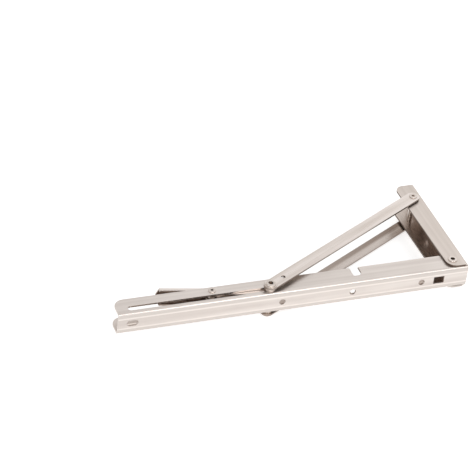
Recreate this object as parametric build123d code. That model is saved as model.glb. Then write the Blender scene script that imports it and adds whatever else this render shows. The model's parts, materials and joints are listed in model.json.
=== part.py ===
from build123d import *
from math import asin, atan2, cos, degrees, radians, sin, sqrt
import os

# A folding shelf bracket in stainless steel, lying on its side as it rests on a table.
# The wall arm runs along +Y with its back on the plane X = 0. The shelf arm runs along -X
# and carries the shelf on its web, which faces -Y. All pivots stand along Z.
# The origin is the middle screw hole of the wall arm, on the wall's surface.
# Sizes are in millimetres. Lengths along the arms are taken from the outer corner.

os.makedirs("parts", exist_ok=True)

# Sheet metal
sheet = 1.5
bend_radius = 2.4

# Rivets and washers: how far the rims are rounded, and how deep a rivet is hollow
head_round_share = 0.6
washer_round_share = 0.5
hollow_bores = 1.5
hollow_share = 0.6

# Clearances
pin_gap = 0.05
seat_gap = 0.025
face_gap = 0.05
side_gap = 0.25
fold_gap = 0.3
bar_gap = 1.0

# Shelf arm, the long channel
shelf_length = 300.0
shelf_width = 19.0
shelf_depth = 18.8
shelf_corner = 9.0
shelf_end_gap = 0.4
screw_hole = 5.3
shelf_screw_first = 41.1
shelf_screw_spacing = 60.7
shelf_screw_count = 3
oblong_end_inset = 12.0
oblong_length = 9.6
window_near = 21.0
window_length = 9.3
window_height = 6.5

# Wall arm, the short channel that the shelf arm folds into
wall_length = 114.3
wall_start = 1.3
wall_depth_hinge = 17.4
wall_depth_tip = 18.3
wall_heel_radius = 8.5
wall_tip_radius = 7.0
wall_screw_first = 41.0
wall_screw_spacing = 31.0
wall_screw_count = 3

# Hinge between the two arms
hinge_height = 9.8
hinge_pin = 5.0
hinge_head = 8.0
hinge_head_height = 0.8
hinge_bore = 3.6
hinge_spacer_od = 8.0

# Brace, two flat bars outside the arms
brace_pivot_inset = 9.6
brace_pivot_reach = 85.2
bar_width = 11.0
bar_thickness = 1.5
bar_hole = 3.6
bar_hole_place = 15.6
wall_pin = 3.2
wall_sleeve_od = 4.6
brace_head = 6.4
brace_head_height = 0.8
brace_bore = 2.6
brace_rivet_floor = 0.4

# Slider, the pin that runs in the slots of the shelf arm
slot_height = 6.8
slot_spare = 7.4
slot_play = 0.3
slider_rest = 171.7
slider_pin_od = 5.0
slider_head = 8.2
slider_head_height = 1.2
slider_bore = 4.0
slider_washer_od = 10.0
slider_washer_height = 0.6
slider_spacer_od = 8.3

# Notch in the shelf arm's free edges, where the wall arm's pin rests when folded
notch_room = 5.0
notch_round_near = 4.2
notch_round_far = 1.2

# Release lever, a small channel inside the shelf arm
lever_from_slider = 46.4
lever_pivot_height = 14.3
lever_rest_angle = 12.5
lever_back = 7.0
lever_tail = 43.5
lever_nose_gap = 0.3
lever_lip = 4.6
lever_lug = 4.4
lever_jaw_start = 9.9
lever_jaw_depth = 2.1
lever_cut_length = 3.0
lever_cut_width = 6.3
lever_pin = 3.2
lever_head = 6.2
lever_head_height = 0.9
lever_bore = 2.2

# Torsion spring round the lever's sleeve
spring_wire = 0.8
spring_turns = 7
spring_pitch = 0.95
spring_gap = 0.35
spring_room = 0.5
spring_leg_lever = 18.0
spring_leg_arm = 9.0
spring_leg_slope = 20.0
spring_hook_radius = 1.2
spring_hole = 1.4

# Heights over the middle plane
shelf_outer = shelf_width / 2
shelf_inner = shelf_outer - sheet
wall_inner = shelf_outer + side_gap
wall_outer = wall_inner + sheet
bar_inner = wall_outer + bar_gap
bar_outer = bar_inner + bar_thickness
lever_outer = shelf_inner - fold_gap
lever_inner = lever_outer - sheet
spring_radius = lever_pivot_height - slot_height - slider_pin_od / 2 - spring_room - spring_wire / 2

# Places in the plan, from the outer corner
hinge_inset = sheet + fold_gap + shelf_depth - hinge_height
hinge = Vector(-hinge_inset, hinge_height)
brace_pivot = Vector(-brace_pivot_inset, hinge_height + brace_pivot_reach)
slider = Vector(-slider_rest, slot_height)
lever_pivot = Vector(slider.X - lever_from_slider, lever_pivot_height)
brace_length = (brace_pivot - slider).length
brace_angle = degrees(atan2(brace_pivot.Y - slider.Y, brace_pivot.X - slider.X))

# Where the brace pivot and the slider come to when the arms are folded together
folded_pivot = hinge + Vector(-brace_pivot_reach, hinge_inset - brace_pivot_inset)
folded_rise = folded_pivot.Y - slot_height
slider_folded = folded_pivot.X - sqrt(brace_length**2 - folded_rise**2)
origin_height = wall_screw_first + wall_screw_spacing * (wall_screw_count - 1) / 2


def channel(length, width, depth):
    """A folded channel along +X: its web lies on Y = 0 and it opens to +Y."""
    outer = Pos(0, depth / 2) * Rectangle(width, depth)
    outer = fillet(outer.vertices().group_by(Axis.Y)[0], bend_radius)
    room = depth - sheet
    inner = Pos(0, sheet + room / 2) * Rectangle(width - 2 * sheet, room)
    inner = fillet(inner.vertices().group_by(Axis.Y)[0], bend_radius - sheet)
    section = Plane(origin=(0, 0, 0), x_dir=(0, 0, -1), z_dir=(1, 0, 0)) * (outer - inner)
    return extrude(section, length)


def prism(outline, low, high):
    """A plan outline carried up from one height to another."""
    return extrude(Pos(0, 0, low) * outline, high - low)


def tube(outer, bore, low, high):
    """A plain round sleeve or washer standing on the Z axis."""
    return Pos(0, 0, low) * extrude(Circle(outer / 2) - Circle(bore / 2), high - low)


def rod(diameter, low, high):
    return Pos(0, 0, low) * extrude(Circle(diameter / 2), high - low)


def rolled_head(diameter, height, bore, seat):
    """A tubular rivet's head on the plane Z = seat: a rounded rim round a hollow."""
    blank = rod(diameter, seat, seat + height)
    rim = blank.edges().group_by(Axis.Z)[-1]
    blank = fillet(rim, height * head_round_share)
    hollow = rod(bore, seat, seat + height)
    return blank - hollow


def hollow_pin(shank, head, head_height, bore, low, seat):
    """A pin from Z = low up to its rolled head on Z = seat, hollow at the head end."""
    hollow_depth = min(hollow_bores * bore, hollow_share * (seat - low))
    pin = rod(shank, low, seat) - rod(bore, seat - hollow_depth, seat)
    return pin + rolled_head(head, head_height, bore, seat)


def both_sides(piece):
    """The piece and its mirror image below the middle plane."""
    return [piece, mirror(piece, Plane.XY)]


def at(place, piece):
    return Pos(place.X, place.Y, 0) * piece


def obround(first, second, diameter):
    """A round-ended outline from one plan point to another."""
    middle = (first + second) * 0.5
    run = second - first
    angle = degrees(atan2(run.Y, run.X))
    return Pos(middle.X, middle.Y) * Rot(0, 0, angle) * SlotCenterToCenter(run.length, diameter)


def through(outline, width):
    """A cutter through both flanges of a channel of that width."""
    return prism(outline, -width, width)


def web_hole(place, diameter):
    """A round cutter through the shelf arm's web."""
    bore = Plane(origin=(place, -sheet, 0), z_dir=(0, 1, 0))
    return extrude(bore * Circle(diameter / 2), 3 * sheet)


def shelf_side():
    """The shelf arm's outline from the side, with the rounded ends of its flanges."""
    swing = shelf_depth - hinge_height
    heel = sheet + fold_gap
    with BuildSketch() as side:
        with BuildLine():
            Polyline(
                (-shelf_length, 0),
                (-shelf_end_gap, 0),
                (-shelf_end_gap, sheet),
                (-heel, sheet),
                (-heel, hinge_height),
            )
            CenterArc((hinge.X, hinge.Y), swing, 0, 90)
            Line((hinge.X, shelf_depth), (-shelf_length + shelf_corner, shelf_depth))
            CenterArc((-shelf_length + shelf_corner, shelf_depth - shelf_corner), shelf_corner, 90, 90)
            Line((-shelf_length, shelf_depth - shelf_corner), (-shelf_length, 0))
        make_face()
    return side.sketch


def notch_outline():
    """The open notch that takes the wall arm's sleeve."""
    far = folded_pivot.X - wall_sleeve_od / 2 - fold_gap
    near = folded_pivot.X + notch_room
    bottom = folded_pivot.Y - wall_sleeve_od / 2 - fold_gap
    top = shelf_depth + shelf_corner
    cut = Pos((far + near) / 2, (bottom + top) / 2) * Rectangle(near - far, top - bottom)
    far_corner = cut.vertices().group_by(Axis.Y)[0].sort_by(Axis.X)[0]
    cut = fillet(far_corner, notch_round_far)
    near_corner = cut.vertices().group_by(Axis.Y)[0].sort_by(Axis.X)[-1]
    return fillet(near_corner, notch_round_near)


def shelf_arm():
    arm = Pos(-shelf_length, 0, 0) * channel(shelf_length, shelf_width, shelf_depth)
    arm = arm & through(shelf_side(), shelf_width)
    slot_diameter = slider_pin_od + 2 * pin_gap
    slot_end = Vector(slider_folded - slot_spare, slot_height)
    slot_start = slider + Vector(slot_play, 0)
    arm -= through(obround(slot_end, slot_start, slot_diameter), shelf_width)
    arm -= through(notch_outline(), shelf_width)
    arm -= at(hinge, rod(hinge_pin + 2 * pin_gap, -shelf_width, shelf_width))
    arm -= at(lever_pivot, rod(lever_pin + 2 * seat_gap, -shelf_width, shelf_width))
    arm -= at(lever_pivot + spring_hook(), rod(spring_hole, -shelf_width, 0))
    for index in range(shelf_screw_count):
        arm -= web_hole(-shelf_screw_first - index * shelf_screw_spacing, screw_hole)
    face = Plane(origin=(oblong_end_inset - shelf_length, -sheet, 0), x_dir=(1, 0, 0), z_dir=(0, -1, 0))
    arm -= extrude(face * SlotOverall(oblong_length, screw_hole), -3 * sheet)
    face = Plane(origin=(-window_near - window_length / 2, -sheet, 0), x_dir=(1, 0, 0), z_dir=(0, -1, 0))
    arm -= extrude(face * Rectangle(window_length, window_height), -3 * sheet)
    return arm


def wall_side():
    """The wall arm's outline from the side: bend relief, round heel, tapered edge, round tip."""
    with BuildSketch() as side:
        with BuildLine():
            Polyline(
                (0, sheet + fold_gap),
                (-bend_radius, sheet + fold_gap),
                (-bend_radius, wall_start),
                (-wall_depth_hinge, wall_start),
                (-wall_depth_tip, wall_length),
                (0, wall_length),
                (0, sheet + fold_gap),
            )
        make_face()
    outline = side.sketch
    heel = outline.vertices().sort_by_distance((-wall_depth_hinge, wall_start, 0))[0]
    outline = fillet(heel, wall_heel_radius)
    tip = outline.vertices().sort_by_distance((-wall_depth_tip, wall_length, 0))[0]
    return fillet(tip, wall_tip_radius)


def wall_arm():
    arm = Rot(0, 0, 90) * channel(wall_length, 2 * wall_outer, max(wall_depth_hinge, wall_depth_tip))
    arm = arm & through(wall_side(), 2 * wall_outer)
    arm -= at(hinge, rod(hinge_pin + 2 * seat_gap, -2 * wall_outer, 2 * wall_outer))
    arm -= at(brace_pivot, rod(wall_pin + 2 * seat_gap, -2 * wall_outer, 2 * wall_outer))
    for index in range(wall_screw_count):
        height = wall_screw_first + index * wall_screw_spacing
        face = Plane(origin=(-2 * sheet, height, 0), z_dir=(1, 0, 0))
        arm -= extrude(face * Circle(screw_hole / 2), 3 * sheet)
    return arm


def hinge_rivet():
    """One tubular rivet through all four flanges, with a rolled rim at each end."""
    top = hollow_pin(hinge_pin, hinge_head, hinge_head_height, hinge_bore, 0, wall_outer)
    return at(hinge, top + mirror(top, Plane.XY))


def hinge_spacer():
    reach = shelf_inner - face_gap
    return at(hinge, tube(hinge_spacer_od, hinge_pin + 2 * pin_gap, -reach, reach))


def brace_bar():
    """A flat bar with round ends on the slider and the wall arm's pin."""
    bar = prism(obround(slider, brace_pivot, bar_width), bar_inner, bar_outer)
    bar -= at(slider, rod(slider_pin_od + 2 * pin_gap, bar_inner, bar_outer))
    bar -= at(brace_pivot, rod(wall_pin + 2 * seat_gap, bar_inner, bar_outer))
    along = (brace_pivot - slider).normalized() * bar_hole_place
    return bar - at(slider + along, rod(bar_hole, bar_inner, bar_outer))


def wall_pin_body():
    """The middle of the wall arm's pin, which reaches through both flanges to the bars."""
    reach = bar_inner - 2 * face_gap
    return at(brace_pivot, rod(wall_pin, -reach, reach))


def wall_sleeve():
    reach = wall_inner - face_gap
    return at(brace_pivot, tube(wall_sleeve_od, wall_pin + 2 * seat_gap, -reach, reach))


def brace_rivet():
    """The riveted end of the wall arm's pin, which turns with the brace bar."""
    low = bar_inner - face_gap
    end = rod(wall_pin, low, bar_outer) - rod(brace_bore, low + brace_rivet_floor, bar_outer)
    return at(brace_pivot, end + rolled_head(brace_head, brace_head_height, brace_bore, bar_outer))


def slider_pin():
    """The slider's pin in three lengths: it is open where the lever's cheeks cross it."""
    seat = bar_outer + face_gap + slider_washer_height
    low = lever_outer + side_gap
    end = hollow_pin(slider_pin_od, slider_head, slider_head_height, slider_bore, low, seat)
    reach = lever_inner - side_gap
    middle = rod(slider_pin_od, -reach, reach)
    return [at(slider, piece) for piece in both_sides(end) + [middle]]


def slider_spacer():
    bore = slider_pin_od + 2 * seat_gap
    return at(slider, tube(slider_spacer_od, bore, shelf_outer + face_gap, bar_inner - face_gap))


def slider_washer():
    low = bar_outer + face_gap
    bore = slider_pin_od + 2 * seat_gap
    washer = tube(slider_washer_od, bore, low, low + slider_washer_height)
    rim = washer.edges().filter_by(GeomType.CIRCLE).group_by(Axis.Z)[-1].sort_by(SortBy.LENGTH)[-1]
    return at(slider, fillet(rim, slider_washer_height * washer_round_share))


def lever_side(nose):
    """The lever's cheek, with its pivot at the origin: tail lip, round lug and deep jaw."""
    lip_edge = lever_back - lever_lip
    with BuildSketch() as side:
        with BuildLine():
            Polyline(
                (-lever_tail, lever_back),
                (-lever_tail, lip_edge),
                (-lever_lug, lip_edge),
                (-lever_lug, 0),
                (lever_jaw_start, 0),
                (lever_jaw_start, -lever_jaw_depth),
                (nose, -lever_jaw_depth),
                (nose, lever_back),
                (-lever_tail, lever_back),
            )
        make_face()
        Circle(lever_lug)
    outline = side.sketch
    corner = outline.vertices().sort_by_distance((nose, -lever_jaw_depth, 0))[0]
    return fillet(corner, sheet)


def lever_nose():
    """The jaw's length, so that its end stands just short of the slider's pin at rest."""
    tilt = radians(lever_rest_angle)
    reach = slider.X - slider_pin_od / 2 - lever_nose_gap - lever_pivot.X
    return (reach + lever_jaw_depth * sin(tilt)) / cos(tilt)


def release_lever():
    """The lever at rest: its jaw blocks the slider and its tail stands out of the channel."""
    nose = lever_nose()
    depth = lever_back + max(lever_lug, lever_jaw_depth)
    blank = Rot(180, 0, 0) * channel(lever_tail + nose, 2 * lever_outer, depth)
    lever = Pos(-lever_tail, lever_back, 0) * blank
    lever = lever & through(lever_side(nose), shelf_width)
    for side in (-1, 1):
        end = (-lever_tail, side * lever_outer)
        across = (-lever_tail, side * (lever_outer - lever_cut_width))
        along = (-lever_tail + lever_cut_length, side * lever_outer)
        corner = Plane.XZ * make_face(Polyline(end, across, along, close=True))
        lever -= extrude(corner, shelf_width, both=True)
    lever -= rod(lever_pin + 2 * pin_gap, -shelf_width, shelf_width)
    return at(lever_pivot, Rot(0, 0, -lever_rest_angle) * lever)


def lever_rivet():
    """The lever's pivot through both flanges, with a rolled and hollow head at each end."""
    top = hollow_pin(lever_pin, lever_head, lever_head_height, lever_bore, 0, shelf_outer)
    return at(lever_pivot, top + mirror(top, Plane.XY))


def lever_sleeve():
    reach = lever_inner - face_gap
    outer = 2 * (spring_radius - spring_gap) - spring_wire
    return at(lever_pivot, tube(outer, lever_pin + 2 * pin_gap, -reach, reach))


def spring_hook():
    """Where the spring's arm leg turns down into the lower flange, seen from the lever's pivot."""
    slope = radians(spring_leg_slope)
    away = Vector(-cos(slope), sin(slope)) * spring_leg_arm
    return Vector(-sin(slope), -cos(slope)) * spring_radius + away


def lever_spring():
    """A torsion spring: one leg presses on the lever's web, the other hooks into the lower flange."""
    lift = (lever_back - sheet - pin_gap - spring_wire / 2 - spring_radius) / spring_leg_lever
    start_angle = -90 - spring_leg_slope
    finish_angle = 90 - lever_rest_angle - degrees(asin(lift))
    turns = spring_turns + (finish_angle - start_angle) / 360
    rise = spring_pitch * turns
    coil = Pos(0, 0, -rise / 2) * Rot(0, 0, start_angle) * Helix(spring_pitch, rise, spring_radius)
    start, finish = coil @ 0, coil @ 1
    corner = start - (coil % 0) * spring_leg_arm
    tip = Vector(corner.X, corner.Y, -shelf_outer)
    hook = FilletPolyline(tip, corner, start, radius=spring_hook_radius)
    leg = Line(finish, finish + (coil % 1) * spring_leg_lever)
    path = Wire(hook.edges() + coil.edges() + leg.edges())
    section = Plane(origin=tip, z_dir=(0, 0, 1)) * Circle(spring_wire / 2)
    return at(lever_pivot, sweep(section, path=path))


def write(name, *pieces):
    """Each node goes to its own file, moved from the corner to the origin."""
    placed = [Pos(0, -origin_height, 0) * piece for piece in pieces]
    export_step(placed[0] if len(placed) == 1 else Compound(children=placed), f"parts/{name}.step")


write("wall_arm", wall_arm())
write("shelf_arm", shelf_arm())
write("hinge_rivet", hinge_rivet())
write("hinge_spacer", hinge_spacer())
write("wall_pin", wall_pin_body())
write("wall_pin_sleeve", wall_sleeve())
for side, piece in zip(("upper", "lower"), both_sides(brace_bar())):
    write(f"brace_bar_{side}", piece)
for side, piece in zip(("upper", "lower"), both_sides(brace_rivet())):
    write(f"brace_rivet_{side}", piece)
write("slider_pin", *slider_pin())
for side, piece in zip(("upper", "lower"), both_sides(slider_spacer())):
    write(f"slider_spacer_{side}", piece)
for side, piece in zip(("upper", "lower"), both_sides(slider_washer())):
    write(f"slider_washer_{side}", piece)
write("release_lever", release_lever())
write("lever_rivet", lever_rivet())
write("lever_sleeve", lever_sleeve())
write("lever_spring", lever_spring())

swing = brace_angle - degrees(asin(folded_rise / brace_length))
print(f"hinge {hinge.X} {hinge.Y - origin_height}")
print(f"slider {slider.X} {slider.Y - origin_height}, travel {slider.X - slider_folded:.5f}")
print(f"brace swing {swing:.5f} degrees")
print(f"lever pivot {lever_pivot.X} {lever_pivot.Y - origin_height}")
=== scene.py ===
# %% [markdown]
# # A folding shelf bracket in stainless steel
# The bracket is two folded channels hinged together, with a brace of two flat bars and a small
# sprung release lever. It lies on its side, open at a right angle. Its shapes come from the packed
# model, and this file gives them their finish, the light and the camera.
# Everything is in metres, and patterns are given by their real size in millimetres.

# %% Load the frame
import json
from functools import partial
from math import asin, atan2, cos, degrees, pi, radians, sin

import bpy
from mathutils import Matrix, Vector


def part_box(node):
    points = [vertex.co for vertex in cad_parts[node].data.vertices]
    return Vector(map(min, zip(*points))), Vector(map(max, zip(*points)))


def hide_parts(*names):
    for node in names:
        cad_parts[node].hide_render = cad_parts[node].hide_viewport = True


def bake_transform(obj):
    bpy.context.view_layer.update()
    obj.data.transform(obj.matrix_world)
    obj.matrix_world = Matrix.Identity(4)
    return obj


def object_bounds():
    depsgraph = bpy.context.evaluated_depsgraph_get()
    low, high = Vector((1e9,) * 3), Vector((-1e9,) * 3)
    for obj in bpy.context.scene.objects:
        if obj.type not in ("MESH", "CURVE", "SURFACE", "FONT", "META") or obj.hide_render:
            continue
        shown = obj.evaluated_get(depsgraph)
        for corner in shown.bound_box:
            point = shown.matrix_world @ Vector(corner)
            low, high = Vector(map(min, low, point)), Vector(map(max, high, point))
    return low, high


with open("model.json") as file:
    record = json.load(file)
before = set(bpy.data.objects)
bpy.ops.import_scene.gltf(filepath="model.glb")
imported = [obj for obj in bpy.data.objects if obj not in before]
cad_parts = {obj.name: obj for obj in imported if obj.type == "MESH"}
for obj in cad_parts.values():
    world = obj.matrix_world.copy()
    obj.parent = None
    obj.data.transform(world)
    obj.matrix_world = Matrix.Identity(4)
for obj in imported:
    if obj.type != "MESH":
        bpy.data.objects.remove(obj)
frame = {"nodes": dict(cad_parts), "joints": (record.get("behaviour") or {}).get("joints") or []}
cad_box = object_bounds()
nodes = frame["nodes"]
print("pieces", len(nodes), "size in mm", [round(1000 * c, 1) for c in cad_box[1] - cad_box[0]])

# %% [markdown]
# ## Small helpers
# Colours are chosen as sRGB hex values, as a paint chart gives them, and Blender wants them linear.
# One helper adds a node with its settings and its links, so that a material reads as a short list.

# %% Helpers
MM = 0.001


def linear(hex_value):
    """An sRGB hex colour as the linear colour that Blender's nodes take."""
    channels = [int(hex_value[i:i + 2], 16) / 255 for i in (1, 3, 5)]
    return [c / 12.92 if c <= 0.04045 else ((c + 0.055) / 1.055) ** 2.4 for c in channels] + [1.0]


def add_node(tree, kind, inputs=None, **settings):
    """A node with its settings, where an input is a plain value or another node's output."""
    node = tree.nodes.new(kind)
    for name, value in settings.items():
        setattr(node, name, value)
    for socket, value in (inputs or {}).items():
        if isinstance(value, bpy.types.NodeSocket):
            tree.links.new(value, node.inputs[socket])
        else:
            node.inputs[socket].default_value = value
    return node


def empty_tree(owner):
    """The node tree of a material or world, cleared."""
    owner.use_nodes = True
    owner.node_tree.nodes.clear()
    return owner.node_tree


def per_metre(millimetres):
    """The texture scale that gives a pattern this size."""
    return 1 / (millimetres * MM)


print("mid grey is", round(linear("#808080")[0], 3), "in linear light")

# %% [markdown]
# ## Camera
# The photograph was taken from a good way off, looking down at about 36 degrees and a little to the
# right, with the camera tipped slightly. A long lens gives the same weak perspective. The bracket
# sits low and to the right in the picture, so the camera aims up and left of it, with no shift.

# %% Camera
VIEW_YAW = radians(24.95)
VIEW_PITCH = radians(35.95)
VIEW_ROLL = radians(7.82)
VIEW_DISTANCE = 2.1309
VIEW_TARGET = Vector((-0.1687, 0.0200, 0.0))
LENS = 199.76
SENSOR = 36.0
NEAREST = 0.05
FARTHEST = 50

ahead = Vector((sin(VIEW_YAW) * cos(VIEW_PITCH), cos(VIEW_YAW) * cos(VIEW_PITCH), -sin(VIEW_PITCH)))
level = Vector((cos(VIEW_YAW), -sin(VIEW_YAW), 0.0))
upright = level.cross(ahead)
right = level * cos(VIEW_ROLL) + upright * sin(VIEW_ROLL)
up = upright * cos(VIEW_ROLL) - level * sin(VIEW_ROLL)

lens_data = bpy.data.cameras.new("camera")
lens_data.lens = LENS
lens_data.sensor_width = SENSOR
lens_data.clip_start = NEAREST
lens_data.clip_end = FARTHEST
camera = bpy.data.objects.new("camera", lens_data)
bpy.context.scene.collection.objects.link(camera)
turn = Matrix((right, up, -ahead)).transposed().to_4x4()
camera.matrix_world = Matrix.Translation(VIEW_TARGET - ahead * VIEW_DISTANCE) @ turn
bpy.context.scene.camera = camera
bpy.context.scene.view_settings.view_transform = "Standard"
print("camera at", [round(c, 3) for c in camera.location])

# %% [markdown]
# ## Floor and surroundings
# Polished and satin steel has hardly a colour of its own: it shows what is round it. A white room
# gives the pale, even look of a studio picture. The floor and the room are therefore white to the
# camera and to reflections, while they light the object only gently. The floor keeps its shadow.

# %% Floor and world
WHITE = "#FFFFFF"
CARD_WHITE = "#EDEDED"
ROOM_LIGHT = 0.55
FLOOR_GLOW = 0.64
FLOOR_SIZE = 8.0


def seen_directly(tree):
    """One for rays from the camera, from a reflection and through glass, and zero for the rest."""
    path = add_node(tree, "ShaderNodeLightPath").outputs
    first = add_node(tree, "ShaderNodeMath", {0: path["Is Camera Ray"], 1: path["Is Glossy Ray"]},
                     operation="MAXIMUM")
    both = add_node(tree, "ShaderNodeMath",
                    {0: first.outputs[0], 1: path["Is Transmission Ray"]}, operation="MAXIMUM")
    return both.outputs[0]


def white_room():
    """The world: white to look at, and a gentle light."""
    world = bpy.data.worlds.new("white_room")
    tree = empty_tree(world)
    seen = add_node(tree, "ShaderNodeBackground", {"Color": linear(WHITE), "Strength": 1.0})
    light = add_node(tree, "ShaderNodeBackground",
                     {"Color": linear(WHITE), "Strength": ROOM_LIGHT})
    mix = add_node(tree, "ShaderNodeMixShader",
                   {0: seen_directly(tree), 1: light.outputs[0], 2: seen.outputs[0]})
    add_node(tree, "ShaderNodeOutputWorld", {"Surface": mix.outputs[0]})
    bpy.context.scene.world = world


def white_card():
    """Matt white card that glows to the camera and to reflections."""
    card = bpy.data.materials.new("white_card")
    tree = empty_tree(card)
    matt = add_node(tree, "ShaderNodeBsdfDiffuse", {"Color": linear(CARD_WHITE)})
    glow = add_node(tree, "ShaderNodeMath", {0: seen_directly(tree), 1: FLOOR_GLOW},
                    operation="MULTIPLY")
    shine = add_node(tree, "ShaderNodeEmission",
                     {"Color": linear(WHITE), "Strength": glow.outputs[0]})
    both = add_node(tree, "ShaderNodeAddShader", {0: matt.outputs[0], 1: shine.outputs[0]})
    add_node(tree, "ShaderNodeOutputMaterial", {"Surface": both.outputs[0]})
    return card


def white_floor():
    """A sheet of card under the bracket, at the height of its lowest rivet head."""
    half = FLOOR_SIZE / 2
    corners = [(-half, -half, 0), (half, -half, 0), (half, half, 0), (-half, half, 0)]
    mesh = bpy.data.meshes.new("floor")
    mesh.from_pydata(corners, [], [(0, 1, 2, 3)])
    mesh.materials.append(white_card())
    floor = bpy.data.objects.new("floor", mesh)
    floor.location = (VIEW_TARGET.x, VIEW_TARGET.y, cad_box[0].z)
    bpy.context.scene.collection.objects.link(floor)


white_room()
white_floor()
print("floor at", round(1000 * cad_box[0].z, 2), "mm")

# %% [markdown]
# ## Lamps
# Three soft lamps stand in for studio boxes. A flat face of metal shows whatever lies in its mirror
# direction. One lamp stands where the long bends mirror it, which draws their pale lines. One in
# front lights the web. One behind is weak, because the upper faces mirror its edge: it makes them
# a little lighter towards the wall arm, and a strong one would clip them to white.
# Each has its place from the middle of the view and its side in metres, and its power in watts.

# %% Lamps
LAMPS = {
    "bend_box": ((0.54, -0.94, 1.17), 0.6, 3.6),
    "front_box": ((-0.4, -1.5, 0.5), 0.8, 6),
    "back_box": ((1.2, 1.0, 0.9), 0.8, 0.8),
}


def softbox(name, place, size, watts):
    """A square lamp that faces the bracket."""
    data = bpy.data.lights.new(name, "AREA")
    data.shape = "SQUARE"
    data.size = size
    data.energy = watts
    lamp = bpy.data.objects.new(name, data)
    lamp.location = VIEW_TARGET + Vector(place)
    lamp.rotation_euler = (-Vector(place)).to_track_quat("-Z", "Y").to_euler()
    bpy.context.scene.collection.objects.link(lamp)


for name, (place, size, watts) in LAMPS.items():
    softbox(name, place, size, watts)
print("lamps", len(LAMPS))

# %% [markdown]
# ## Grain and painted shade
# The arms are cut from stainless strip, folded and tumbled. Strip is rolled and brushed along its
# length, which leaves fine lines and slow bands of tone the same way. The lines come from noise
# that is stretched along the grain, so they need no picture and no unwrapping.
# The tumbling stones don't reach deep into a channel, so its inside keeps the smoother gloss of the
# rolled sheet. It is also painted darker there, as painted shade. An ambient occlusion node that
# looks at the piece alone finds how enclosed each spot is. The bars and the lever also count what
# lies next to them, so they get painted shade under their neighbours.

# %% Grain and painted shade
NOISE_ROUGHNESS = 0.6
SHADE_REACH_MM = 24.0
WIDER_REACH = 2
OPEN = 0.85
DEEP = 0.3
SHADE_SAMPLES = 8


def noise_along(tree, place, width, length, detail):
    """Noise that is stretched along the grain, which runs along X of the given coordinates."""
    scale = (per_metre(length), per_metre(width), per_metre(width))
    stretched = add_node(tree, "ShaderNodeMapping", {"Vector": place, "Scale": scale})
    noise = add_node(tree, "ShaderNodeTexNoise",
                     {"Vector": stretched.outputs[0], "Scale": 1.0, "Detail": detail,
                      "Roughness": NOISE_ROUGHNESS})
    return noise.outputs["Fac"]


# This share paints shade into the colour where a piece is enclosed, and also makes it glossier
# there.
def shade_and_gloss_share(tree, alone):
    """One deep in a piece's own channel or under others, and zero where it is open to all sides."""
    reach = SHADE_REACH_MM if alone else WIDER_REACH * SHADE_REACH_MM
    around = add_node(tree, "ShaderNodeAmbientOcclusion", {"Distance": reach * MM},
                      samples=SHADE_SAMPLES, only_local=alone)
    share = add_node(tree, "ShaderNodeMapRange",
                     {"Value": around.outputs["AO"], "From Min": OPEN, "From Max": DEEP})
    return share.outputs[0]


print("a channel shelters its inside within", SHADE_REACH_MM, "mm")

# %% [markdown]
# ## Marks of cutting
# Each mark is a share from zero to one, found from a place in the piece's own plan, with X along
# the grain. Painting them on would need an unwrapped picture, and a rule finds them exactly.
# Shearing leaves a rough and dark edge, and its dark colour also stands in for the shade in the
# gaps along it, as painted shade. Such edges are the upright faces past the bends. Some stretches
# of them are painted paler, as painted light, and a second rule finds those.

# %% Sheared edges
LEVEL_FACE = 0.6
UPRIGHT_FACE = 0.3
BEND_DEPTH_MM = 2.6
EDGE_FADE_MM = 3.0


def sheared_edge(tree, at, web_at):
    """The edges of a channel's flanges, which lie past its bends and face along the plan."""
    normal = add_node(tree, "ShaderNodeNewGeometry").outputs["True Normal"]
    facing = add_node(tree, "ShaderNodeSeparateXYZ", {0: normal}).outputs
    tilt = add_node(tree, "ShaderNodeMath", {0: facing["Z"]}, operation="ABSOLUTE")
    upright = add_node(tree, "ShaderNodeMapRange",
                       {"Value": tilt.outputs[0], "From Min": LEVEL_FACE, "From Max": UPRIGHT_FACE})
    past_bend = add_node(tree, "ShaderNodeMath", {0: at["Y"], 1: web_at + BEND_DEPTH_MM * MM},
                         operation="GREATER_THAN")
    both = add_node(tree, "ShaderNodeMath", {0: upright.outputs[0], 1: past_bend.outputs[0]},
                    operation="MULTIPLY")
    return both.outputs[0]


def edges_before(tree, at, web_at, end, top):
    """The sheared edges that lie before a place along a channel and under a height."""
    under = add_node(tree, "ShaderNodeMath", {0: at["Z"], 1: top}, operation="LESS_THAN")
    before = add_node(tree, "ShaderNodeMapRange",
                      {"Value": at["X"], "From Min": end, "From Max": end - EDGE_FADE_MM * MM})
    there = add_node(tree, "ShaderNodeMath", {0: under.outputs[0], 1: before.outputs[0]},
                     operation="MULTIPLY")
    edges = add_node(tree, "ShaderNodeMath",
                     {0: there.outputs[0], 1: sheared_edge(tree, at, web_at)},
                     operation="MULTIPLY")
    return edges.outputs[0]


print("sheared edges start", BEND_DEPTH_MM, "mm past the outside of a web")

# %% [markdown]
# ## Painted light and shade along the pieces
# A band of painted shade with a painted highlight line runs along each bend. A painted shadow runs
# along one side of a bar. The outsides of a small channel's cheeks are painted brighter, as painted
# light. All of them run along the piece, so they are found by height or by the way across it, and
# the shadow also grows towards one end.

# %% Painted bands, shadow and cheeks
WEB_SKIN_MM = BEND_DEPTH_MM / 6
STREAK_FADE_MM = (-1.0, 2.5)
STREAK_FAINTEST = 0.25
EDGE_ROUND_MM = 0.22


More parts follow.
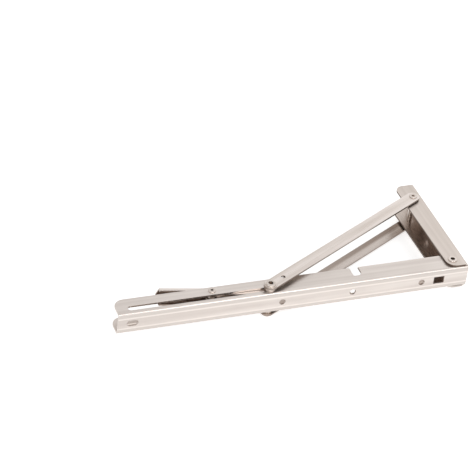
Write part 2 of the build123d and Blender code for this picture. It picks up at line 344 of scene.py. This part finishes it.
def beside_bends(tree, at, web_at, half_height, from_mm, to_mm):
    """Rises from zero to one between two distances from a channel's flanges, outside on its web."""
    height = add_node(tree, "ShaderNodeMath", {0: at["Z"]}, operation="ABSOLUTE")
    near = add_node(tree, "ShaderNodeMapRange",
                    {"Value": height.outputs[0], "From Min": half_height - from_mm * MM,
                     "From Max": half_height - to_mm * MM}, interpolation_type="SMOOTHSTEP")
    outside = add_node(tree, "ShaderNodeMath", {0: at["Y"], 1: web_at + WEB_SKIN_MM * MM},
                       operation="LESS_THAN")
    both = add_node(tree, "ShaderNodeMath", {0: near.outputs[0], 1: outside.outputs[0]},
                    operation="MULTIPLY")
    return both.outputs[0]


def shadow_along_bar(tree, at, middle, start, end):
    """A painted shadow along the far side of a bar, which grows from its start to its end."""
    inner, outer = (middle + fade * MM for fade in STREAK_FADE_MM)
    across = add_node(tree, "ShaderNodeMapRange",
                      {"Value": at["Y"], "From Min": inner, "From Max": outer},
                      interpolation_type="SMOOTHSTEP")
    along = add_node(tree, "ShaderNodeMapRange",
                     {"Value": at["X"], "From Min": start, "From Max": end,
                      "To Min": STREAK_FAINTEST})
    both = add_node(tree, "ShaderNodeMath", {0: across.outputs[0], 1: along.outputs[0]},
                    operation="MULTIPLY")
    return both.outputs[0]


def outer_cheeks(tree, at, half_height):
    """The outsides of a channel's flanges."""
    height = add_node(tree, "ShaderNodeMath", {0: at["Z"]}, operation="ABSOLUTE")
    outside = add_node(tree, "ShaderNodeMath",
                       {0: height.outputs[0], 1: half_height - EDGE_ROUND_MM * MM},
                       operation="GREATER_THAN")
    return outside.outputs[0]


print("marks of the web reach", round(WEB_SKIN_MM, 2), "mm into the sheet")

# %% [markdown]
# ## Satin stainless steel
# Real brush lines are under 0.1 mm apart, too fine to show here, so they are drawn 0.7 mm apart.
# Cut edges are rounded a little in the shading, as tumbling does. The grain also varies the gloss,
# and a slow band and a smudge vary the tone. The painted shade of the inside and then the marks,
# some of them painted light and shade, are laid over that tone one after the other.

# %% Satin steel
GRAIN_WIDTH_MM = 0.7
GRAIN_LENGTH_MM = 45.0
GRAIN_DETAIL = 3.0
GRAIN_DEPTH_MM = 0.004
GRAIN_SPREAD = (0.3, 0.7)
GRAIN_GLOSS = 0.06
BAND_WIDTH_MM = 4.6
BAND_LENGTH_MM = 190.0
SMUDGE_WIDTH_MM = 16.0
SMUDGE_LENGTH_MM = 32.0
SMUDGE_SHARE = 0.35
TONE_DETAIL = 1.0
TONE_SPREAD = (0.45, 0.9)
INSIDE_ROUGHNESS = 0.2
EDGE_SAMPLES = 4


def laid_over(tree, base, layers):
    """A base colour with layers over it, where each layer has a colour and its share."""
    colour = linear(base)
    for hex_value, share in layers:
        mix = add_node(tree, "ShaderNodeMix", {0: share, 6: colour, 7: linear(hex_value)},
                       data_type="RGBA")
        colour = mix.outputs[2]
    return colour


def bare_steel(tree, colour, roughness, relief, depth_mm):
    """Bare steel with softened edges and a fine relief, as the finished surface."""
    edge = add_node(tree, "ShaderNodeBevel", {"Radius": EDGE_ROUND_MM * MM}, samples=EDGE_SAMPLES)
    bumps = add_node(tree, "ShaderNodeBump",
                     {"Height": relief, "Distance": depth_mm * MM, "Strength": 1.0,
                      "Normal": edge.outputs[0]})
    steel = add_node(tree, "ShaderNodeBsdfPrincipled",
                     {"Base Color": colour, "Metallic": 1.0, "Roughness": roughness,
                      "Normal": bumps.outputs[0]})
    add_node(tree, "ShaderNodeOutputMaterial", {"Surface": steel.outputs[0]})


def satin_steel(name, light, dark, shade_colour, grain_angle, roughness, alone=False, marks=()):
    """Stainless steel brushed along a direction in the plan, with painted shade where it is
    enclosed and marks of their own colours, some of them painted light and shade.
    """
    material = bpy.data.materials.new(name)
    tree = empty_tree(material)
    plan = add_node(tree, "ShaderNodeTexCoord").outputs["Object"]
    turned = add_node(tree, "ShaderNodeVectorRotate", {"Vector": plan, "Angle": -grain_angle},
                      rotation_type="Z_AXIS")
    place = turned.outputs[0]
    at = add_node(tree, "ShaderNodeSeparateXYZ", {0: place}).outputs
    grain = noise_along(tree, place, GRAIN_WIDTH_MM, GRAIN_LENGTH_MM, GRAIN_DETAIL)
    band = noise_along(tree, place, BAND_WIDTH_MM, BAND_LENGTH_MM, TONE_DETAIL)
    smudge = noise_along(tree, place, SMUDGE_WIDTH_MM, SMUDGE_LENGTH_MM, TONE_DETAIL)
    both = add_node(tree, "ShaderNodeMath", {0: smudge, 1: SMUDGE_SHARE, 2: band},
                    operation="MULTIPLY_ADD")
    tone = add_node(tree, "ShaderNodeMapRange",
                    {"Value": both.outputs[0], "From Min": TONE_SPREAD[0],
                     "From Max": TONE_SPREAD[1]})
    shade_and_gloss = shade_and_gloss_share(tree, alone)
    # The second layer is painted shade, darker where the piece is enclosed.
    layers = [(light, tone.outputs[0]), (shade_colour, shade_and_gloss)]
    layers += [(mark_colour, where(tree, at)) for mark_colour, where in marks]
    brushed = add_node(tree, "ShaderNodeMapRange",
                       {"Value": grain, "From Min": GRAIN_SPREAD[0], "From Max": GRAIN_SPREAD[1],
                        "To Min": roughness - GRAIN_GLOSS, "To Max": roughness + GRAIN_GLOSS})
    gloss = add_node(tree, "ShaderNodeMix",
                     {0: shade_and_gloss, 2: brushed.outputs[0], 3: INSIDE_ROUGHNESS}, data_type="FLOAT")
    bare_steel(tree, laid_over(tree, dark, layers), gloss.outputs[0], grain, GRAIN_DEPTH_MM)
    return material


print("brush lines are", GRAIN_WIDTH_MM, "mm apart")

# %% [markdown]
# ## The two arms
# Each arm is a channel with the grain along it. The model's own box says where its marks lie: they
# need the place of its web in the plan and half its width. Most sheared edges are rough and dark,
# partly as painted shade. The slots' edges and the wall arm's lower edge by the hinge are painted
# paler, as painted light.

# %% Arm materials
HIGHLIGHT_LINE_MM = (6.0, 4.6)
SHADE_BAND_MM = (5.0, 3.6)
HEEL_MM = 6.0
PAST_PIN_MM = 6.0
SHELF_GRAIN = 0.0
WALL_GRAIN = pi / 2
MIDDLE_HEIGHT = 0.0

joints = {joint["name"]: joint for joint in frame["joints"]}
brace_foot = Vector(joints["brace_swing"]["pos_m"])
shelf_low, shelf_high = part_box("shelf_arm")
wall_low, wall_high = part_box("wall_arm")
shelf_web = shelf_low.y
wall_web = -wall_high.x


def channel_marks(web_at, half_height, sheared):
    """A painted highlight line and a band of painted shade beside a channel's bends, and the colour
    of its sheared edges, which is partly painted shade.
    """
    # The pale line is a painted highlight, and the grey band is painted shade.
    places = [("#E9E1DB", HIGHLIGHT_LINE_MM), ("#CBC3BD", SHADE_BAND_MM)]
    bends = [(colour, partial(beside_bends, web_at=web_at, half_height=half_height,
                              from_mm=span[0], to_mm=span[1])) for colour, span in places]
    return bends + [(sheared, partial(sheared_edge, web_at=web_at))]


# The slots' edges and the heel's edge are painted paler, as painted light.
painted_light_slots = ("#D6CCC5", partial(edges_before, web_at=shelf_web,
                                 end=brace_foot.x + PAST_PIN_MM * MM, top=shelf_high.z))
painted_light_heel = ("#BFB7B0", partial(edges_before, web_at=wall_web, end=wall_low.y + HEEL_MM * MM,
                                top=MIDDLE_HEIGHT))
# The third colour of each arm is the painted shade inside its channel.
along_shelf = satin_steel(
    "satin_sheet_shelf_arm", "#DAD2CC", "#CAC1BB", "#A8998F", SHELF_GRAIN, 0.34, alone=True,
    marks=channel_marks(shelf_web, shelf_high.z, "#94867C") + [painted_light_slots])
along_wall = satin_steel(
    "satin_sheet_wall_arm", "#D2C8C1", "#C2B8B0", "#A3948A", WALL_GRAIN, 0.34, alone=True,
    marks=channel_marks(wall_web, wall_high.z, "#6B5D54") + [painted_light_heel])
print("half widths in mm", round(1000 * shelf_high.z, 2), "and", round(1000 * wall_high.z, 2))

# %% [markdown]
# ## The brace's bars and the lever
# The bars are flat strip, so their grain follows the brace, which runs from the slider's pin to the
# pin in the wall arm. The lower bar has darker colours than the upper one, as painted shade, and a
# brown painted shadow along one side. The lever is a small channel that was only tumbled, so it is
# duller. It lies level when it is pressed all the way, and at rest it is tilted by its whole
# travel.
# The outsides of its cheeks, which show in the slot, are painted brighter than the rest of it, as
# painted light.

# %% Bar and lever materials
NO_BEND = -1.0

brace_top = sum(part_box("brace_rivet_upper"), Vector()) / 2
brace_turn = atan2(brace_top.y - brace_foot.y, brace_top.x - brace_foot.x)
lever_tilt = radians(-joints["lever_press"]["range_deg"][1])
lever_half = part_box("release_lever")[1].z


def along_and_across(point, angle):
    """A point of the plan in coordinates that are turned with a piece."""
    return (point.x * cos(angle) + point.y * sin(angle),
            point.y * cos(angle) - point.x * sin(angle))


brace_start, brace_middle = along_and_across(brace_foot, brace_turn)
brace_end = along_and_across(brace_top, brace_turn)[0]
# The dark sides of the bars are partly their sheared faces and partly painted shade.
cut_sides = ("#9A8E86", partial(sheared_edge, web_at=NO_BEND))
painted_shadow = ("#7F6F64", partial(shadow_along_bar, middle=brace_middle, start=brace_start, end=brace_end))
# The outsides of the lever's cheeks are painted brighter, as painted light.
painted_light_cheeks = ("#DDD4CE", partial(outer_cheeks, half_height=lever_half))
# The third colour of each bar and of the lever is painted shade where it is enclosed or other
# pieces lie near.
along_brace = satin_steel(
    "satin_flat_bar", "#DDD4CE", "#CBC1B9", "#8E8177", brace_turn, 0.30, marks=[cut_sides])
# The lower bar is a darker copy of the bar steel, as painted shade, with a painted shadow along it.
shaded_brace = satin_steel(
    "shaded_flat_bar", "#D0C6C0", "#BEB4AC", "#A2958B", brace_turn, 0.30,
    marks=[painted_shadow, cut_sides])
along_lever = satin_steel(
    "tumbled_sheet_lever", "#D5CCC5", "#C3B9B2", "#9C8D83", lever_tilt, 0.38, marks=[painted_light_cheeks])
print("brace turned", round(degrees(brace_turn), 1), "lever tilted", round(degrees(lever_tilt), 1))

# %% [markdown]
# ## Turned and rolled steel
# Rivets and washers are turned and then rolled over in a press. They are smoother than the sheet
# and a shade darker, with faint uneven marks from the tool.

# %% Rivet materials
TOOL_MARK_MM = 1.1
TOOL_MARK_DEPTH_MM = 0.03
TOOL_MARK_DETAIL = 2.0
TOOL_MARK_GLOSS = (-0.05, 0.08)


def rolled_steel(name, light, dark, roughness):
    """Smooth stainless steel with the uneven marks of the rolling tool."""
    material = bpy.data.materials.new(name)
    tree = empty_tree(material)
    place = add_node(tree, "ShaderNodeTexCoord").outputs["Object"]
    dents = noise_along(tree, place, TOOL_MARK_MM, TOOL_MARK_MM, TOOL_MARK_DETAIL)
    glossiest, dullest = (roughness + change for change in TOOL_MARK_GLOSS)
    gloss = add_node(tree, "ShaderNodeMapRange",
                     {"Value": dents, "To Min": glossiest, "To Max": dullest})
    colour = laid_over(tree, dark, [(light, dents)])
    bare_steel(tree, colour, gloss.outputs[0], dents, TOOL_MARK_DEPTH_MM)
    return material


rivet_steel = rolled_steel("rolled_rivet_steel", "#E3DAD3", "#AEA29A", 0.2)
washer_steel = rolled_steel("turned_washer_steel", "#E3DAD3", "#BBB0A8", 0.26)
spring_steel = rolled_steel("drawn_spring_wire", "#E2DAD2", "#BDB3AB", 0.18)
print("tool marks are", TOOL_MARK_MM, "mm wide")

# %% [markdown]
# ## The lever's spring
# The spring is wound from bright drawn wire round a sleeve on the lever's rivet. One leg hooks into
# a hole in the lower flange, and the other lies under the lever's back. It is made here from a
# curve with a round bevel, turned to a mesh.

# %% Lever spring
WIRE_MM = 0.8
WIRE_BEVEL_STEPS = 3
COIL_RADIUS_MM = 4.1
COIL_PITCH_MM = 0.95
FULL_TURNS = 7
HOOK_LEG_MM = 9.0
HOOK_BEND_MM = 1.2
HOOK_BEND_STEPS = (0, 0.25, 0.5, 0.75, 1)
HOOK_SLOPE = radians(20)
LEVER_LEG_MM = 18.0
LEVER_LEG_RISE_MM = 0.95
STEPS_PER_TURN = 32

lever_pivot = Vector(joints["lever_press"]["pos_m"])
first_angle = -pi / 2 - HOOK_SLOPE
last_angle = pi / 2 + lever_tilt - asin(LEVER_LEG_RISE_MM / LEVER_LEG_MM) + 2 * pi * FULL_TURNS
coil_turns = (last_angle - first_angle) / (2 * pi)
coil_height = COIL_PITCH_MM * coil_turns


def on_coil(share):
    """A point on the coil, from 0 at the hooked leg to 1 at the lever's leg, in millimetres."""
    angle = first_angle + share * (last_angle - first_angle)
    return Vector((COIL_RADIUS_MM * cos(angle), COIL_RADIUS_MM * sin(angle),
                   coil_height * (share - 0.5)))


def coil_direction(angle):
    """The direction in which the wire runs at an angle of the coil."""
    climb = COIL_PITCH_MM / (2 * pi * COIL_RADIUS_MM)
    return Vector((-sin(angle), cos(angle), climb)).normalized()


def spring_path():
    """The wire's middle line: the hook, the coil and the leg under the lever."""
    corner = on_coil(0) - coil_direction(first_angle) * HOOK_LEG_MM
    below = corner - Vector((0, 0, HOOK_BEND_MM))
    beside = corner + coil_direction(first_angle) * HOOK_BEND_MM
    tip = Vector((corner.x, corner.y, 1000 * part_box("lever_spring")[0].z))
    bend = [below.lerp(corner, t).lerp(corner.lerp(beside, t), t) for t in HOOK_BEND_STEPS]
    steps = round(STEPS_PER_TURN * coil_turns)
    coil = [on_coil(i / steps) for i in range(steps + 1)]
    end = on_coil(1) + coil_direction(last_angle) * LEVER_LEG_MM
    return [tip] + bend + coil + [end]


def round_wire(name, points, diameter):
    """A wire of round section along the points, as a mesh."""
    line = bpy.data.curves.new(name, "CURVE")
    line.dimensions = "3D"
    line.bevel_depth = diameter / 2
    line.bevel_resolution = WIRE_BEVEL_STEPS
    line.use_fill_caps = True
    run = line.splines.new("POLY")
    run.points.add(len(points) - 1)
    for knot, point in zip(run.points, points):
        knot.co = (*point, 1)
    former = bpy.data.objects.new(name, line)
    bpy.context.scene.collection.objects.link(former)
    shaped = former.evaluated_get(bpy.context.evaluated_depsgraph_get())
    mesh = bpy.data.meshes.new_from_object(shaped)
    bpy.data.objects.remove(former)
    mesh.shade_smooth()
    wire = bpy.data.objects.new(name, mesh)
    bpy.context.scene.collection.objects.link(wire)
    return wire


wire_points = [lever_pivot + point * MM for point in spring_path()]
spring = round_wire("lever_spring_wire", wire_points, WIRE_MM * MM)
spring.data.materials.clear()
spring.data.materials.append(spring_steel)
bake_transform(spring)
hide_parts("lever_spring")
print("spring turns", round(coil_turns, 2), "faces", len(spring.data.polygons))

# %% [markdown]
# ## Which piece has which finish
# The finish goes by what each piece was made from, listed piece by piece. What isn't
# named here is a rivet or a sleeve.

# %% Dress the pieces
FINISH = {
    "shelf_arm": along_shelf,
    "wall_arm": along_wall,
    "brace_bar_upper": along_brace,
    "brace_bar_lower": shaded_brace,
    "release_lever": along_lever,
    "slider_spacer_upper": washer_steel,
    "slider_spacer_lower": washer_steel,
    "slider_washer_upper": washer_steel,
    "slider_washer_lower": washer_steel,
    "lever_spring": spring_steel,  # the solid under the modelled wire
}


def dress(piece, material):
    """Gives a piece one material in all its slots."""
    if not piece.material_slots:
        piece.data.materials.append(material)
    for place in piece.material_slots:
        place.material = material


for name, piece in nodes.items():
    dress(piece, FINISH.get(name, rivet_steel))
print("dressed", len(nodes), "pieces")
